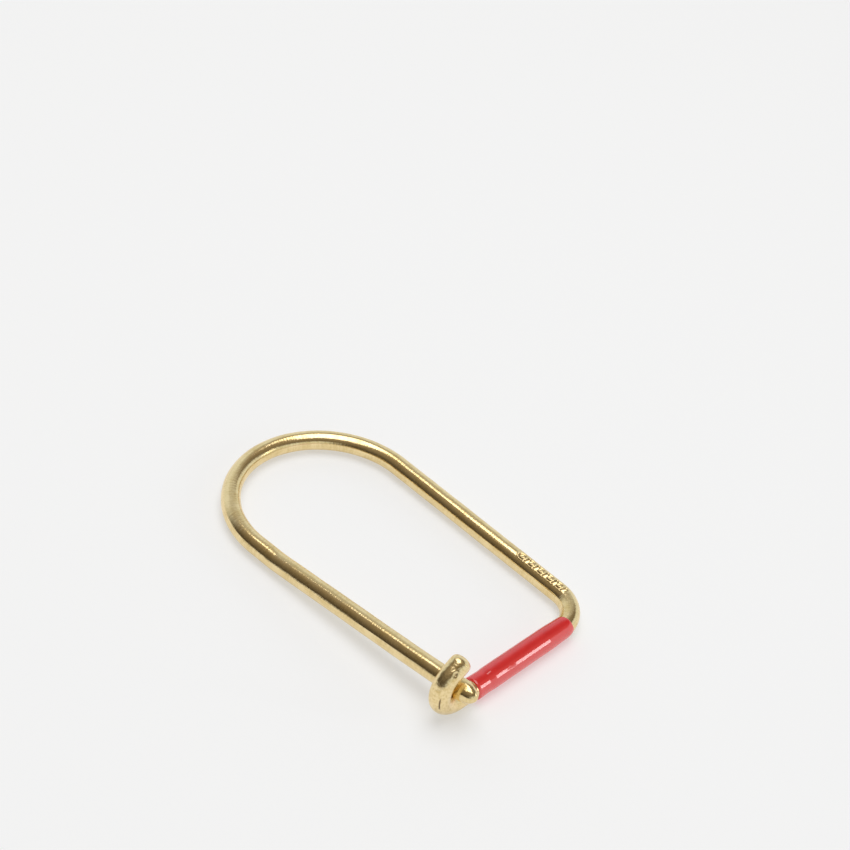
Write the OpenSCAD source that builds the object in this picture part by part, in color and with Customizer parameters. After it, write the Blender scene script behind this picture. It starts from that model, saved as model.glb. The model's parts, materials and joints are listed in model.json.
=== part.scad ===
// Latching key ring bent from one length of round brass wire, with an enamelled bar.
//
// The ring lies flat. Seen from above it is a long D: a half-round crown, two legs that lean
// slightly together, a rounded corner, and a straight bar that closes the foot. The bar ends in
// a hook that curls up and over. The free leg springs against the inside of that hook and rests
// on the bar. Pushed inwards and lifted, it comes out of the hook and opens the ring.

/* [Wire] */
// Diameter of the wire (1/8 inch)
wire_d = 3.175; // [2.975:0.05:3.375]

/* [Outline] */
// Radius of the crown's bend, to the middle of the wire
crown_r = 15.7; // [14:0.1:18]
// Distance from the crown's centre to the middle of the bar
leg_run = 42.2; // [36:0.2:50]
// Angle at which each leg leans inwards
leg_lean = 1.3; // [0.5:0.1:2]
// Radius of the bend between the fixed leg and the bar
corner_r = 5.7; // [4:0.1:7]

/* [Hook] */
// Radius of the hook's bend
hook_r = 3.95; // [3.9:0.05:4.3]
// Angle through which the hook turns, up and back over the leg
hook_turn = 145; // [140:1:150]
// Straight wire after the hook's bend, before its rounded end
hook_straight = 1.6; // [0.5:0.1:2]
// How far inside the leg's place the hook's bend starts, along the bar
hook_offset = 0.35; // [0.2:0.05:0.4]

/* [Free leg] */
// Length of level leg below the crown before the leg starts to rise over the bar
rise_start = 4.7; // [4:0.1:8]
// Radius of the slight bends in the free leg
set_r = 12; // [8:1:20]
// Extra lean of the leg's last stretch, where the hook holds the spring closed
held_lean = 0.8; // [0.6:0.1:0.9]
// Length of that last stretch, up to the bar
held_run = 9; // [8:0.5:12]
// Straight wire past the middle of the bar, before the tip
tip_overhang = 1.0; // [0.6:0.1:1.5]
// Length of the bullet-shaped tip
tip_len = 2.8; // [2:0.1:3.2]

/* [Enamel] */
// Thickness of the enamel coat
coat_t = 0.3; // [0.2:0.05:0.4]
// How far the coat runs round the corner bend
coat_corner = 11; // [2:1:30]
// Gap between the free leg's side and the coat, along the bar
coat_gap = 2.2; // [0.6:0.1:6]

/* [Hidden] */
$fn = 96;

wire_r = wire_d / 2;
weld_h = 0.01;
weld_w = 0.1;

// The spring of the crown is drawn as a ball and cup at the top of its bend.
ball_r = wire_r - 0.05;
cup_r = wire_r + 0.1;

// The leg rises so that its last stretch lies in the foot of the hook with a hair's clearance.
seat_gap = 0.12;
leg_slope = leg_run - crown_r * sin(leg_lean);
rise_run = leg_slope / cos(leg_lean) - rise_start;
rise = asin((wire_d + seat_gap) / rise_run);
rise_setback = set_r * tan(rise / 2);
held_setback = set_r * tan(held_lean / 2);
held_flat = held_run / cos(rise);
gate_run = rise_run / cos(rise) - held_flat - rise_setback - held_setback;

// Places along the bar, from the middle of the ring.
leg_x = crown_r * cos(leg_lean) - leg_slope * tan(leg_lean);
held_x = leg_x - held_run * tan(held_lean);
hook_x = held_x - hook_offset;
corner_turn = 90 - leg_lean;
corner_setback = corner_r * tan(corner_turn / 2);
fixed_run = leg_slope / cos(leg_lean) - corner_setback;
bar_run = leg_x - corner_setback + hook_x;
coat_run = leg_x - corner_setback + held_x - wire_r - coat_gap;

// Rounded ends
end_dome_r = 1.25 * wire_r;
end_dome_h = end_dome_r - sqrt(end_dome_r ^ 2 - wire_r ^ 2);
end_len = wire_r;
tip_flat_r = 0.4 * wire_r;
tip_shoulder = 0.5 * tip_len;
tip_shoulder_r = 0.87 * wire_r;

// The ring stands on its enamel, and its bounding box is centred on the origin.
hook_reach = hook_x + hook_r + wire_r;
ring_x = (hook_reach - crown_r - wire_r) / 2;
tip_reach = leg_run + tip_overhang + tip_len;
ring_y = (tip_reach - crown_r - wire_r) / 2;
ring_z = wire_r + coat_t;

brass = [0.83, 0.72, 0.45];
enamel = [0.78, 0.1, 0.13];

// Hair-thin collar that welds two stretches of wire where they meet
module weld() {
    cylinder(d = wire_d + 2 * weld_h, h = weld_w, center = true);
}

// Straight length of wire along +Z; children carry on from its far end.
module straight(length) {
    cylinder(d = wire_d, h = length);
    weld();
    translate([0, 0, length]) {
        weld();
        children();
    }
}

// Wire heading along +Z, bent towards the direction that is at angle side from +X.
module bend(radius, turn, side = 0) {
    rotate([0, 0, side]) {
        translate([radius, 0, 0]) rotate([90, 0, 180])
            rotate_extrude(angle = turn) translate([radius, 0]) circle(d = wire_d);
        translate([radius * (1 - cos(turn)), 0, radius * sin(turn)]) rotate([0, turn, 0])
            rotate([0, 0, -side]) children();
    }
}

// Blunt end with a shallow dome
module domed_end() {
    intersection() {
        cylinder(d = wire_d, h = end_len);
        translate([0, 0, end_len - end_dome_r]) sphere(r = end_dome_r);
    }
}

// Bullet-shaped tip that feeds through a key's eye
module bullet_tip() {
    cylinder(r1 = wire_r, r2 = tip_shoulder_r, h = tip_shoulder);
    translate([0, 0, tip_shoulder])
        cylinder(r1 = tip_shoulder_r, r2 = tip_flat_r, h = tip_len - tip_shoulder);
}

// Start at the top of the crown, heading right or left, with +X pointing down the ring.
module from_crown_rightwards() {
    translate([0, crown_r, 0]) rotate([90, 180, 90]) children();
}

module from_crown_leftwards() {
    translate([0, crown_r, 0]) rotate([90, 0, -90]) children();
}

// Fixed part of the wire: half the crown, the fixed leg, the corner, the bar and the hook
module wire_frame() {
    color(brass) difference() {
        from_crown_rightwards()
            bend(crown_r, 90 + leg_lean)
            straight(fixed_run)
            bend(corner_r, corner_turn)
            straight(bar_run)
            bend(hook_r, hook_turn, side = -90)
            straight(hook_straight)
            domed_end();
        translate([0, crown_r, 0]) sphere(r = cup_r);
    }
}

// Sprung part of the wire: the other half of the crown and the free leg
module spring_leg() {
    color(brass) {
        translate([0, crown_r, 0]) sphere(r = ball_r);
        from_crown_leftwards()
            bend(crown_r, 90 + leg_lean)
            straight(rise_start - rise_setback)
            bend(set_r, rise, side = 90)
            straight(gate_run)
            bend(set_r, held_lean)
            straight(held_flat - held_setback + tip_overhang)
            bullet_tip();
    }
}

// Fired coat around the bar, from beside the free leg to just round the corner
module enamel_sleeve() {
    coat_d = wire_d + 2 * coat_t;
    start_x = leg_x - corner_setback;
    color(enamel) translate([start_x, -leg_run, 0]) {
        rotate([0, -90, 0]) difference() {
            cylinder(d = coat_d, h = coat_run);
            translate([0, 0, -1]) cylinder(d = wire_d, h = coat_run + 2);
        }
        translate([0, corner_r, 0]) rotate([0, 0, -90])
            rotate_extrude(angle = coat_corner) translate([corner_r, 0]) difference() {
                circle(d = coat_d);
                circle(d = wire_d);
            }
    }
}

module placed() {
    translate([ring_x, ring_y, ring_z]) children();
}

placed() wire_frame();
placed() spring_leg();
placed() enamel_sleeve();
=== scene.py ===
import json
from math import asin, cos, degrees, pi, radians, sin, tan

import bpy
import numpy as np
from mathutils import Matrix, Vector


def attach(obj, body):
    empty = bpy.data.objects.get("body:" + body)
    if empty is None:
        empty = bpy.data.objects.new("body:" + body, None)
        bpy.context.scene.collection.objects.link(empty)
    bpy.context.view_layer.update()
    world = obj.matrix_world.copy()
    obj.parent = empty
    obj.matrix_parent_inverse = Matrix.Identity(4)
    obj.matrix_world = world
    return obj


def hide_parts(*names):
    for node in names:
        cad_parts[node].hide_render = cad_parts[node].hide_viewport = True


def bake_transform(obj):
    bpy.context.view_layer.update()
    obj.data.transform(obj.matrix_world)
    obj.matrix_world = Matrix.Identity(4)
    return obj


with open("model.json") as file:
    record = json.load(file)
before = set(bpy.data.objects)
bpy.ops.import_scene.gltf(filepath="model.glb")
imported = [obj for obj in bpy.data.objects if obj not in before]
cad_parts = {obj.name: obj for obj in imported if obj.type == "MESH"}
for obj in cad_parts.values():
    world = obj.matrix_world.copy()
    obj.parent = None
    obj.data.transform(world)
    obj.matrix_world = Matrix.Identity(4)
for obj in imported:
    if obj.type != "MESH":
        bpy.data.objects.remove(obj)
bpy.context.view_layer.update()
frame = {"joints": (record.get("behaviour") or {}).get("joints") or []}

# ---------------------------------------------------------------- sizes, in millimetres and degrees
MM = 0.001
WIRE_R = 3.175 / 2
CROWN_R = 15.7
LEG_RUN = 42.2
LEG_LEAN = 1.3
CORNER_R = 5.7
HOOK_R = 3.95
HOOK_TURN = 145
HOOK_STRAIGHT = 1.6
HOOK_OFFSET = 0.35
HOOK_END = 1.35
RISE_START = 4.7
SET_R = 12
HELD_LEAN = 0.8
HELD_RUN = 9
SEAT_GAP = 0.12
TIP_OVERHANG = 1.0
TIP_LEN = 2.8
COAT_T = 0.3
COAT_CORNER = 11
COAT_GAP = 2.2

# Derived places, as in the design
joint = frame["joints"][0]
RING = np.array(joint["pos_m"]) / MM - (0, CROWN_R, 0)
lean = radians(LEG_LEAN)
leg_slope = LEG_RUN - CROWN_R * sin(lean)
rise_run = leg_slope / cos(lean) - RISE_START
rise = asin((2 * WIRE_R + SEAT_GAP) / rise_run)
rise_setback = SET_R * tan(rise / 2)
held_setback = SET_R * tan(radians(HELD_LEAN) / 2)
held_flat = HELD_RUN / cos(rise)
gate_run = rise_run / cos(rise) - held_flat - rise_setback - held_setback
leg_x = CROWN_R * cos(lean) - leg_slope * tan(lean)
held_x = leg_x - HELD_RUN * tan(radians(HELD_LEAN))
hook_x = held_x - HOOK_OFFSET
corner_turn = 90 - LEG_LEAN
corner_setback = CORNER_R * tan(radians(corner_turn) / 2)
fixed_run = leg_slope / cos(lean) - corner_setback
corner_run = CORNER_R * radians(corner_turn)
bar_run = leg_x - corner_setback + hook_x
hook_run = HOOK_R * radians(HOOK_TURN)
bar_start = fixed_run + corner_run
hook_start = bar_start + bar_run


# ---------------------------------------------------------------- the wire's route
class Route:
    """A bent wire's centre line: straight and bent steps from a starting frame.

    Each frame's columns are the bend side, the side across it, and the heading.
    """

    def __init__(self, point, heading, side, steps):
        self.legs = []
        place = np.array(point, float)
        axes = np.column_stack([side, np.cross(heading, side), heading])
        start = 0.0
        for step in steps:
            self.legs.append((start, place, axes, step))
            place, axes = self.along(place, axes, step, self.length_of(step))
            start += self.length_of(step)
        self.length = start

    @staticmethod
    def length_of(step):
        return step[1] if step[0] == "straight" else step[1] * radians(step[2])

    @staticmethod
    def along(place, axes, step, distance):
        if step[0] == "straight":
            return place + axes[:, 2] * distance, axes
        _, radius, _, side = step
        turn = distance / radius
        spin = np.array(Matrix.Rotation(radians(side), 3, "Z"))
        bent = axes @ spin
        move = np.array([radius * (1 - cos(turn)), 0, radius * sin(turn)])
        tilt = np.array(Matrix.Rotation(turn, 3, "Y"))
        return place + bent @ move, bent @ tilt @ spin.T

    def at(self, s):
        """Place and axes at distance s; past either end, the route runs straight on."""
        start, place, axes, step = self.legs[0]
        for leg in self.legs:
            if leg[0] <= s:
                start, place, axes, step = leg
        inside = min(s - start, self.length_of(step))
        place, axes = self.along(place, axes, step, inside)
        return place + axes[:, 2] * (s - start - inside), axes


seam = RING + (CROWN_R * cos(lean), -CROWN_R * sin(lean), 0)
inward = np.array([-cos(lean), sin(lean), 0])
down_leg = np.array([-sin(lean), -cos(lean), 0])
fixed_route = Route(seam, down_leg, inward, [
    ("straight", fixed_run),
    ("bend", CORNER_R, corner_turn, 0),
    ("straight", bar_run),
    ("bend", HOOK_R, HOOK_TURN, -90),
    ("straight", HOOK_STRAIGHT),
])
free_route = Route(seam, -down_leg, inward, [
    ("bend", CROWN_R, 180 + 2 * LEG_LEAN, 0),
    ("straight", RISE_START - rise_setback),
    ("bend", SET_R, degrees(rise), 90),
    ("straight", gate_run),
    ("bend", SET_R, HELD_LEAN, 0),
    ("straight", held_flat - held_setback + TIP_OVERHANG),
])


# ---------------------------------------------------------------- mesh helpers
def smoothstep(low, high, x):
    t = np.clip((x - low) / (high - low), 0, 1)
    return t * t * (3 - 2 * t)


def bump_at(distance, width):
    return np.exp(-((distance / width) ** 2))


def wrap(angle):
    """Angle folded into -pi to pi"""
    return (angle + pi) % (2 * pi) - pi


def stations(length, coarse, fine_spans):
    """Distances along a route, close together inside the spans (from, to, spacing)."""
    s = [0.0]
    while s[-1] < length:
        gap = min([coarse] + [f for a, b, f in fine_spans if a - coarse < s[-1] < b])
        s.append(s[-1] + gap)
    s[-1] = length
    return np.array(s)


def sweep(name, route, rings, around, radius, sense, slant=None, mark_darkening=None):
    """Tube along a route. rings are (distance, share of the radius); radius is a function of
    distance and angle. sense is 1 or -1, so that the grain's coordinates run on across a seam.
    slant shifts points along the route, and the darkening function colours them darker; both are such
    functions too."""
    angles = np.arange(around) * 2 * pi / around
    places, grain, dark_rows = [], [], []
    for s, share in rings:
        place, axes = route.at(s)
        r = share * radius(s, angles)
        out = np.outer(np.cos(angles), axes[:, 0]) + np.outer(np.sin(angles), axes[:, 1])
        shift = share * slant(s, angles) if slant else np.zeros(around)
        places.append(place + out * r[:, None] + np.outer(shift, axes[:, 2]))
        grain.append(np.column_stack([
            np.full(around, sense * s), r * np.cos(angles), sense * r * np.sin(angles)]))
        dark_rows.append(mark_darkening(s, angles) if mark_darkening else np.zeros(around))
    mesh = bpy.data.meshes.new(name)
    faces = []
    for i in range(len(rings) - 1):
        for j in range(around):
            a, b = i * around + j, i * around + (j + 1) % around
            faces.append((a, b, b + around, a + around))
    last = (len(rings) - 1) * around
    faces.append(tuple(range(around))[::-1])
    faces.append(tuple(range(last, last + around)))
    mesh.from_pydata((np.concatenate(places) * MM).tolist(), [], faces)
    attribute = mesh.attributes.new("grain", "FLOAT_VECTOR", "POINT")
    attribute.data.foreach_set("vector", np.concatenate(grain).astype(np.float32).ravel())
    attribute = mesh.attributes.new("mark_darkening", "FLOAT", "POINT")
    attribute.data.foreach_set("value", np.concatenate(dark_rows).astype(np.float32))
    mesh.polygons.foreach_set("use_smooth", [True] * len(mesh.polygons))
    mark_sharp(mesh, len(faces) - 2)
    mesh.validate()
    mesh.update()
    piece = bpy.data.objects.new(name, mesh)
    bpy.context.scene.collection.objects.link(piece)
    return piece


def mark_sharp(mesh, cap):
    """Keep the tube's shading straight up to an open end's hidden cap."""
    polygon = mesh.polygons[cap]
    polygon.use_smooth = False
    keys = set(polygon.edge_keys)
    for edge in mesh.edges:
        if edge.key in keys:
            edge.use_edge_sharp = True


def rounded_end(start, length, fullness, count):
    """Rings that close a tube: the share of the radius falls to almost nothing."""
    turns = np.linspace(0, pi / 2, count + 1)[1:]
    along = np.sin(turns) ** (2 / fullness)
    share = np.cos(turns) ** (2 / fullness)
    return [(start + length * a, max(r, 0.012)) for a, r in zip(along, share)]


# ---------------------------------------------------------------- the wire's surface
UP_FIXED = -pi / 2
OVAL = 0.045
OVAL_ANGLE = radians(-45)
STAMP_FROM = 28.3
STAMP_TO = 37.2
STAMPS = 10
STAMP_HALF = 0.46
NICK_AT = hook_start + hook_run + 0.2
NICK_ANGLE = radians(135)
CREASE_FROM = hook_start + 4.6
CREASE_TO = hook_start + 7.0
CREASE_ANGLE = radians(133)
OUTER_ANGLE = radians(105)
CUT_SLANT = 0.25
PRESSED_DEPTH = 0.09


def stamp_marks(s, angles):
    """Plain row struck along the top of the fixed leg: rings and slanted strokes by turns"""
    pitch = (STAMP_TO - STAMP_FROM) / (STAMPS - 1)
    index = int(np.clip(round((s - STAMP_FROM) / pitch), 0, STAMPS - 1))
    along = s - STAMP_FROM - pitch * index
    across = wrap(angles - UP_FIXED - radians(4)) * WIRE_R
    if index % 2 == 0:
        edge = np.abs(np.hypot(along / 0.62, across / STAMP_HALF) - 1) * 0.55
    else:
        edge = np.hypot(along + 0.35 * across, np.maximum(np.abs(across) - STAMP_HALF, 0))
    return -0.10 * bump_at(edge, 0.12) + 0.05 * bump_at(edge - 0.25, 0.10)


def nick_mark(s, angles):
    """Small dent near the hook's end, with a raised rim"""
    turn = wrap(angles - NICK_ANGLE) * WIRE_R
    dent = bump_at(s - NICK_AT, 0.3) * bump_at(turn, 0.22)
    rim = bump_at(np.hypot(s - NICK_AT, turn) - 0.55, 0.16)
    return -0.16 * dent + 0.03 * rim


def crease_mark(s, angles):
    """Fine crease along the hook's outer bend"""
    turn = wrap(angles - CREASE_ANGLE) * WIRE_R
    inside = smoothstep(CREASE_FROM, CREASE_FROM + 0.5, s)
    inside = inside * (1 - smoothstep(CREASE_TO - 0.8, CREASE_TO, s))
    return -0.12 * bump_at(turn, 0.12) * inside


def drawn_radius(s, angles, oval):
    """Radius of drawn and bent wire: a little oval, with slow shallow waves"""
    wave = 0.006 * np.sin(0.9 * s + 2 * angles) + 0.005 * np.sin(0.37 * s - angles + 1.3)
    return WIRE_R + wave - 0.006 - oval * np.cos(2 * (angles - OVAL_ANGLE))


def fixed_marks(s, angles):
    return stamp_marks(s, angles) + nick_mark(s, angles) + crease_mark(s, angles)


def fixed_mark_darkening(s, angles):
    """Darker, rougher colour laid into the hollows of the marks: 0 on the plain wire to 1"""
    depth = stamp_marks(s, angles) + 0.35 * nick_mark(s, angles) + crease_mark(s, angles)
    return np.clip(-depth / 0.11, 0, 1)


def fixed_radius(s, angles):
    """The outer side of the hook's bend is a little flattened by the bending tool."""
    pressed = smoothstep(-0.5, 2, s - hook_start) * (1 - smoothstep(7, 10, s - hook_start))
    flat = PRESSED_DEPTH * pressed * np.clip(np.cos(angles - OUTER_ANGLE), 0, 1) ** 2
    return drawn_radius(s, angles, OVAL) - flat + fixed_marks(s, angles)


def free_radius(s, angles):
    """The oval runs on from the fixed leg, and turns over by the end of the crown."""
    return drawn_radius(-s, -angles, OVAL * (1 - 2 * smoothstep(8, 44, s)))


def hook_cut(s, angles):
    """The hook's end is cut slightly askew, lower on its outer side."""
    near_end = smoothstep(fixed_route.length - 1.2, fixed_route.length + HOOK_END, s)
    return -CUT_SLANT * near_end * (np.cos(angles - OUTER_ANGLE) + 0.5)


fixed_s = stations(fixed_route.length, 0.3, [
    (STAMP_FROM - 0.9, STAMP_TO + 0.9, 0.06),
    (hook_start, fixed_route.length, 0.12),
    (NICK_AT - 0.8, NICK_AT + 0.8, 0.06),
])
free_s = stations(free_route.length, 0.3, [(free_route.length - 3, free_route.length, 0.12)])
fixed_rings = [(s, 1) for s in fixed_s] + rounded_end(fixed_route.length, HOOK_END, 3.0, 20)
free_rings = [(s, 1) for s in free_s] + rounded_end(free_route.length, TIP_LEN, 2.0, 20)
fixed_wire = sweep("fixed_wire", fixed_route, fixed_rings, 160, fixed_radius, 1, hook_cut, fixed_mark_darkening)
free_wire = sweep("free_wire", free_route, free_rings, 96, free_radius, -1)


# ---------------------------------------------------------------- the enamel coat
coat_from = bar_start - CORNER_R * radians(COAT_CORNER)
coat_to = hook_start - (hook_x - (held_x - WIRE_R - COAT_GAP))
COAT_SINK = 0.03
LONG_EDGE = 1.3
SHORT_EDGE = 0.38


def coat_radius(s, angles):
    """Outer surface of the fired coat: it swells and sinks a little along the bar"""
    swell = 0.25 - 0.055 * smoothstep(coat_to - 3.8, coat_to - 2.5, s)
    swell = swell + 0.025 * max(s - (coat_to - 2.5), 0)
    swell = swell - 0.12 * (1 - smoothstep(coat_from, coat_from + 5.5, s))
    wave = 0.010 * np.sin(1.1 * s + 0.8 * np.sin(angles)) * np.cos(angles - 0.4)
    wave = wave + 0.0018 * np.sin(2.3 * s + 2 * angles) + 0.0006 * np.sin(4.1 * s - 3 * angles)
    return WIRE_R + np.minimum(swell + wave, COAT_T)


def coat_sleeve():
    """Closed shell with rolled ends, on a round bore a little narrower than the nominal wire"""
    turns = np.linspace(0, pi / 2, 13)
    body = np.arange(coat_from + LONG_EDGE, coat_to - SHORT_EDGE, 0.1)
    outer = [(coat_from + LONG_EDGE * (1 - cos(t)), sin(t)) for t in turns]
    outer += [(s, 1.0) for s in body[1:-1]]
    outer += [(coat_to - SHORT_EDGE * (1 - cos(t)), sin(t)) for t in turns[::-1]]
    inner = [(s, 0.0) for s in np.linspace(coat_to, coat_from, 60)[1:-1]]
    around = 96
    angles = np.arange(around) * 2 * pi / around
    bore = WIRE_R - COAT_SINK
    places, grain = [], []
    for s, share in outer + inner:
        place, axes = fixed_route.at(s)
        r = bore + share * (coat_radius(s, angles) - bore)
        out = np.outer(np.cos(angles), axes[:, 0]) + np.outer(np.sin(angles), axes[:, 1])
        places.append(place + out * r[:, None])
        grain.append(np.column_stack([np.full(around, s), r * np.cos(angles), r * np.sin(angles)]))
    rings = len(outer) + len(inner)
    faces = []
    for i in range(rings):
        k = (i + 1) % rings
        for j in range(around):
            m = (j + 1) % around
            faces.append((i * around + j, i * around + m, k * around + m, k * around + j))
    mesh = bpy.data.meshes.new("enamel_coat")
    mesh.from_pydata((np.concatenate(places) * MM).tolist(), [], faces)
    attribute = mesh.attributes.new("grain", "FLOAT_VECTOR", "POINT")
    attribute.data.foreach_set("vector", np.concatenate(grain).astype(np.float32).ravel())
    mesh.polygons.foreach_set("use_smooth", [True] * len(mesh.polygons))
    mesh.update()
    piece = bpy.data.objects.new("enamel_coat", mesh)
    bpy.context.scene.collection.objects.link(piece)
    return piece


coat = coat_sleeve()


# ---------------------------------------------------------------- materials
class Nodes:
    """Short way to add and join a material's nodes"""

    def __init__(self, tree):
        self.tree = tree
        tree.nodes.clear()

    def add(self, kind, inputs=None, **settings):
        node = self.tree.nodes.new(kind)
        for key, value in settings.items():
            setattr(node, key, value)
        for key, value in (inputs or {}).items():
            if isinstance(value, bpy.types.NodeSocket):
                self.tree.links.new(value, node.inputs[key])
            else:
                node.inputs[key].default_value = value
        return node

    def stretched_noise(self, vector, stretch, scale, detail=3.0, tilt=0.0):
        mapping = self.add("ShaderNodeMapping", {
            "Vector": vector, "Scale": stretch, "Rotation": (0, 0, tilt)})
        noise = self.add("ShaderNodeTexNoise", {
            "Vector": mapping.outputs["Vector"], "Scale": scale, "Detail": detail})
        return noise.outputs["Fac"]

    def remap(self, value, low, high, to_low, to_high):
        node = self.add("ShaderNodeMapRange", {
            "Value": value, "From Min": low, "From Max": high, "To Min": to_low, "To Max": to_high})
        return node.outputs["Result"]

    def smooth(self, value, low, high, to_low, to_high):
        node = self.add("ShaderNodeMapRange", {
            "Value": value, "From Min": low, "From Max": high, "To Min": to_low, "To Max": to_high},
            interpolation_type="SMOOTHSTEP")
        return node.outputs["Result"]

    def math(self, operation, *values):
        return self.add("ShaderNodeMath", dict(enumerate(values)), operation=operation).outputs[0]

    def mix(self, factor, a, b):
        node = self.add("ShaderNodeMix", {"Factor": factor, "A": a, "B": b}, data_type="RGBA")
        return node.outputs["Result"]


def material(name):
    made = bpy.data.materials.new(name)
    made.use_nodes = True
    return made, Nodes(made.node_tree)


def brushed_brass():
    """Pale satin brass: short strokes across the wire over faint drawing lines, with dull blotches
    and a rougher, pitted skin on the hook, where the bending tool gripped it; the hook is also painted
    paler, as a painted reflection of the floor."""
    made, n = material("satin_brass")
    grain = n.add("ShaderNodeAttribute", attribute_name="grain").outputs["Vector"]
    along = n.add("ShaderNodeSeparateXYZ", {"Vector": grain}).outputs["X"]
    gripped = n.smooth(along, hook_start, hook_start + 4, 0.25, 1.0)
    strokes = n.stretched_noise(grain, (3.2, 0.45, 0.45), 1.0, 4.0, tilt=0.3)
    lines = n.stretched_noise(grain, (0.05, 4.0, 4.0), 1.0, 3.0)
    blotch = n.stretched_noise(grain, (0.35, 0.6, 0.6), 1.0, 4.0)
    grit = n.stretched_noise(grain, (2.6, 2.6, 2.6), 1.0, 4.0)
    mark_darkening = n.add("ShaderNodeAttribute", attribute_name="mark_darkening").outputs["Fac"]
    height = n.math("ADD", n.math("MULTIPLY", strokes, 0.55), n.math("MULTIPLY", lines, 0.35))
    height = n.math("MULTIPLY_ADD", grit, n.math("MULTIPLY", gripped, 0.9), height)
    bump = n.add("ShaderNodeBump", {"Strength": 1.0, "Distance": 0.000045, "Height": height})
    satin = n.remap(blotch, 0.35, 0.68, 0.10, 0.18)
    rough = n.math("ADD", satin, n.remap(strokes, 0.3, 0.7, -0.03, 0.03))
    rough = n.math("MULTIPLY_ADD", gripped, 0.05, n.math("MULTIPLY_ADD", mark_darkening, 0.35, rough))
    # pits of the gripped skin, offset so the hook comes out paler overall: a painted reflection of the
    # floor
    pits_and_painted_sheen = n.math("SUBTRACT", grit, 0.54)
    dull = n.math("MULTIPLY_ADD", pits_and_painted_sheen, n.math("MULTIPLY", gripped, 1.6), blotch)
    dull = n.math("ADD", dull, n.math("MULTIPLY_ADD", strokes, 0.5, -0.25))
    dull = n.math("ADD", dull, n.math("MULTIPLY_ADD", lines, 0.4, -0.2))
    colour = n.mix(n.remap(dull, 0.35, 0.8, 0.0, 1.0), (0.89, 0.715, 0.395, 1), (0.72, 0.54, 0.24, 1))
    # the hollows of the struck marks, the nick and the crease are coloured dark brown
    colour = n.mix(mark_darkening, colour, (0.16, 0.10, 0.05, 1))
    shader = n.add("ShaderNodeBsdfPrincipled", {
        "Base Color": colour, "Metallic": 1.0, "Roughness": rough, "Normal": bump.outputs["Normal"]})
    n.add("ShaderNodeOutputMaterial", {"Surface": shader.outputs["BSDF"]})
    return made


def red_enamel():
    """Glossy fired enamel, deep red, with a few specks in its skin. Its lower side is painted a brighter
    red, as painted light and painted reflection from below.
    """
    made, n = material("red_enamel")
    grain = n.add("ShaderNodeAttribute", attribute_name="grain").outputs["Vector"]
    under = n.add("ShaderNodeSeparateXYZ", {"Vector": grain}).outputs["Y"]
    peel = n.stretched_noise(grain, (0.5, 0.9, 0.9), 1.0, 1.5)
    specks = n.remap(n.stretched_noise(grain, (3.0, 3.0, 3.0), 1.0, 1.0), 0.74, 0.82, 0.0, 1.0)
    tone = n.stretched_noise(grain, (0.6, 0.9, 0.9), 1.0, 4.0)
    height = n.math("ADD", n.math("MULTIPLY", peel, 0.8), specks)
    bump = n.add("ShaderNodeBump", {"Strength": 1.0, "Distance": 0.00001, "Height": height})
    deep = n.mix(n.remap(tone, 0.35, 0.7, 0.0, 1.0), (0.74, 0.016, 0.020, 1), (0.66, 0.010, 0.014, 1))
    # painted light: the lower side of the coat gets a brighter red than the top
    colour = n.mix(n.smooth(under, -1.35, -0.5, 1.0, 0.0), deep, (0.88, 0.075, 0.07, 1))
    shader = n.add("ShaderNodeBsdfPrincipled", {
        "Base Color": colour, "Roughness": 0.04, "IOR": 1.8, "Normal": bump.outputs["Normal"]})
    n.add("ShaderNodeOutputMaterial", {"Surface": shader.outputs["BSDF"]})
    return made


def paper():
    made, n = material("studio_paper")
    shader = n.add("ShaderNodeBsdfPrincipled", {
        "Base Color": (0.58, 0.60, 0.63, 1), "Roughness": 0.9, "Specular IOR Level": 0.0,
        "Emission Color": (1, 1, 1, 1), "Emission Strength": 0.42})
    n.add("ShaderNodeOutputMaterial", {"Surface": shader.outputs["BSDF"]})
    return made


brass = brushed_brass()
fixed_wire.data.materials.append(brass)
free_wire.data.materials.append(brass)
coat.data.materials.append(red_enamel())

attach(fixed_wire, "frame")
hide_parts("wire_frame")

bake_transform(free_wire)
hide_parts("spring_leg")

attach(coat, "frame")
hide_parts("enamel_sleeve")


# ---------------------------------------------------------------- studio
def floor():
    mesh = bpy.data.meshes.new("studio_floor")
    half = 3.0
    corners = [(-half, -half, 0), (half, -half, 0), (half, half, 0), (-half, half, 0)]
    mesh.from_pydata(corners, [], [(0, 1, 2, 3)])
    plane = bpy.data.objects.new("studio_floor", mesh)
    bpy.context.scene.collection.objects.link(plane)
    mesh.materials.append(paper())


def direction(azimuth, elevation):
    """Unit vector towards a place seen from the ring; azimuth 0 is -Y and 90 is +X"""
    a, e = radians(azimuth), radians(elevation)
    return Vector((sin(a) * cos(e), -cos(a) * cos(e), sin(e)))


def softbox(name, place, size, radiance, roll=0):
    light = bpy.data.lights.new(name, "AREA")
    light.shape = "RECTANGLE"
    light.size, light.size_y = size
    light.energy = radiance * pi * size[0] * size[1]
    lamp = bpy.data.objects.new(name, light)
    bpy.context.scene.collection.objects.link(lamp)
    lamp.location = place
    turn = Vector(place).to_track_quat("Z", "Y").to_matrix() @ Matrix.Rotation(radians(roll), 3, "Z")
    lamp.rotation_euler = turn.to_euler()


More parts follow.
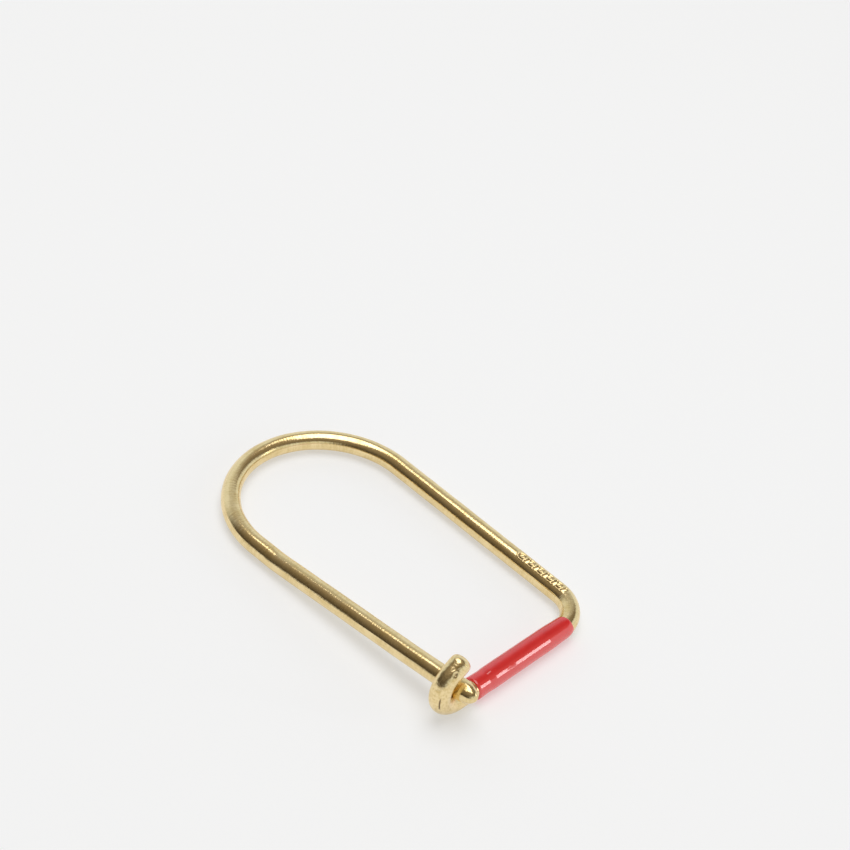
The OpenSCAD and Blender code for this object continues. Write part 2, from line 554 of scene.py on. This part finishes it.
def room():
    """Dim warm room with pale walls on the right and at the back; view.z is the sine of the height"""
    world = bpy.data.worlds.new("studio_room")
    bpy.context.scene.world = world
    world.use_nodes = True
    n = Nodes(world.node_tree)
    view = n.add("ShaderNodeTexCoord").outputs["Generated"]
    height = n.add("ShaderNodeSeparateXYZ", {"Vector": view}).outputs["Z"]

    def facing(azimuth, inner, outer):
        dot = n.add("ShaderNodeVectorMath", {0: view, 1: direction(azimuth, 0)}, operation="DOT_PRODUCT")
        return n.smooth(dot.outputs["Value"], cos(radians(outer)), cos(radians(inner)), 0.0, 1.0)

    def below(low, high, top):
        return n.smooth(height, sin(radians(low)), sin(radians(high)), 1.0, top)

    dim = n.math("MULTIPLY_ADD", n.math("MULTIPLY", height, height), 0.30, 0.06)
    side_wall = n.math("MULTIPLY", facing(60, 88, 122), below(22, 32, 0.0))
    back_wall = n.math("MULTIPLY", facing(152, 36, 68), below(31, 45, 0.62))
    walls = n.math("MAXIMUM", side_wall, back_wall)
    warm = n.mix(dim, (0, 0, 0, 1), (1.19, 1.0, 0.75, 1))
    colour = n.mix(walls, warm, (0.80, 0.84, 0.86, 1))
    shader = n.add("ShaderNodeBackground", {"Color": colour, "Strength": 1.0})
    n.add("ShaderNodeOutputWorld", {"Surface": shader.outputs["Background"]})


floor()
room()
softbox("overhead", (0.04, 0.05, 0.95), (0.76, 0.88), 2.25)
softbox("key", direction(39, 20) * 0.8, (0.05, 0.31), 4.5, roll=-17)

VIEW_AZIMUTH = -51.7
VIEW_ELEVATION = 38.6
VIEW_ROLL = 10.2
VIEW_DISTANCE = 290.9
VIEW_LENS = 76.8
VIEW_AIM = RING + (15.4, -4.35, 11.8)


def photograph_camera():
    data = bpy.data.cameras.new("camera")
    data.lens = VIEW_LENS
    data.sensor_width = 36
    data.clip_start = 0.01
    camera = bpy.data.objects.new("camera", data)
    bpy.context.scene.collection.objects.link(camera)
    back = direction(VIEW_AZIMUTH, VIEW_ELEVATION)
    turn = back.to_track_quat("Z", "Y").to_matrix() @ Matrix.Rotation(radians(VIEW_ROLL), 3, "Z")
    place = Vector(VIEW_AIM * MM) + back * VIEW_DISTANCE * MM
    camera.matrix_world = Matrix.Translation(place) @ turn.to_4x4()
    bpy.context.scene.camera = camera


photograph_camera()
bpy.context.scene.view_settings.view_transform = "Standard"
